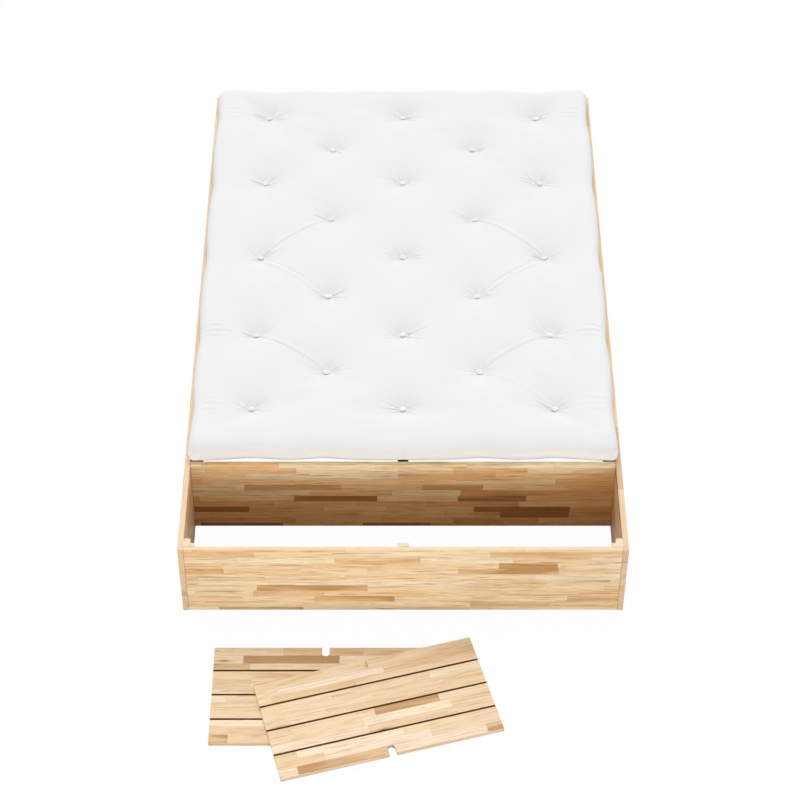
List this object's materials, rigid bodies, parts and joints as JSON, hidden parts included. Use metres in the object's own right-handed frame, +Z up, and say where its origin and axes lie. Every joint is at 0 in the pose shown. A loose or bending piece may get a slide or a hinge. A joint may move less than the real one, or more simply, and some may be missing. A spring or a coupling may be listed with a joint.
{
  "type": "platform bed",
  "caption": "Low wooden box bed with a tufted futon lying on slats between the rails, an open storage compartment across the foot and its loose boarded lids on the floor in front.",
  "frame": {"origin": "under the centre leg, on the floor in the middle of the futon bay", "axes": "+X to the right as seen from the foot, +Y towards the head, +Z up"},
  "size_m": [1.436, 2.991, 0.3882],
  "materials": {
    "rail_wood": "satin oiled edge-glued pale lamella wood",
    "panel_wood": "satin oiled edge-glued pale lamella wood",
    "batten_wood": "sawn pale solid wood",
    "slat_wood": "planed pale solid wood",
    "lid_wood": "satin oiled edge-glued pale lamella wood",
    "tongue_wood": "raw darker wood, seen only in the grooves",
    "dowel_wood": "turned pale wood",
    "screw_steel": "zinc-plated steel",
    "futon_cotton": "matt white cotton cover",
    "tuft_button": "matt white felt button"
  },
  "bodies": {
    "bed_frame": {"side_rail_left": "rail_wood", "side_rail_right": "rail_wood", "foot_panel": "panel_wood", "cross_panel": "panel_wood", "head_panel": "panel_wood", "foot_corner_batten_left": "batten_wood", "foot_corner_batten_right": "batten_wood", "cross_corner_batten_left": "batten_wood", "cross_corner_batten_right": "batten_wood", "head_corner_batten_left": "batten_wood", "head_corner_batten_right": "batten_wood", "foot_stop_batten_left": "batten_wood", "foot_stop_batten_right": "batten_wood", "cross_stop_batten_left": "batten_wood", "cross_stop_batten_right": "batten_wood", "head_stop_batten_left": "batten_wood", "head_stop_batten_right": "batten_wood", "foot_centre_batten": "batten_wood", "cross_centre_batten": "batten_wood", "head_centre_batten": "batten_wood", "slat_ledge_left": "slat_wood", "slat_ledge_right": "slat_wood", "centre_beam": "slat_wood", "centre_leg": "slat_wood", "slat_01": "slat_wood", "slat_02": "slat_wood", "slat_03": "slat_wood", "slat_04": "slat_wood", "slat_05": "slat_wood", "slat_06": "slat_wood", "slat_07": "slat_wood", "slat_08": "slat_wood", "slat_09": "slat_wood", "slat_10": "slat_wood", "slat_11": "slat_wood", "slat_12": "slat_wood", "slat_13": "slat_wood", "slat_14": "slat_wood", "panel_screws": "screw_steel", "stop_screws": "screw_steel", "ledge_screws": "screw_steel", "slat_screws": "screw_steel", "beam_dowels": "dowel_wood"},
    "futon": {"futon": "futon_cotton", "tuft_buttons": "tuft_button"},
    "lower_lid": {"lower_lid_board_1": "lid_wood", "lower_lid_board_2": "lid_wood", "lower_lid_board_3": "lid_wood", "lower_lid_board_4": "lid_wood", "lower_lid_tongue_1": "tongue_wood", "lower_lid_tongue_2": "tongue_wood", "lower_lid_tongue_3": "tongue_wood"},
    "upper_lid": {"upper_lid_board_1": "lid_wood", "upper_lid_board_2": "lid_wood", "upper_lid_board_3": "lid_wood", "upper_lid_board_4": "lid_wood", "upper_lid_tongue_1": "tongue_wood", "upper_lid_tongue_2": "tongue_wood", "upper_lid_tongue_3": "tongue_wood"}
  },
  "joints": [
    {"name": "futon_lift", "type": "slide", "parent": "bed_frame", "child": "futon", "axis": [0, 0, 1], "range_m": [0, 0.4]},
    {"name": "lower_lid_lift", "type": "slide", "parent": "bed_frame", "child": "lower_lid", "axis": [0, 0, 1], "range_m": [0, 0.35]},
    {"name": "upper_lid_lift", "type": "slide", "parent": "lower_lid", "child": "upper_lid", "axis": [0, 0, 1], "range_m": [0, 0.35]}
  ]
}
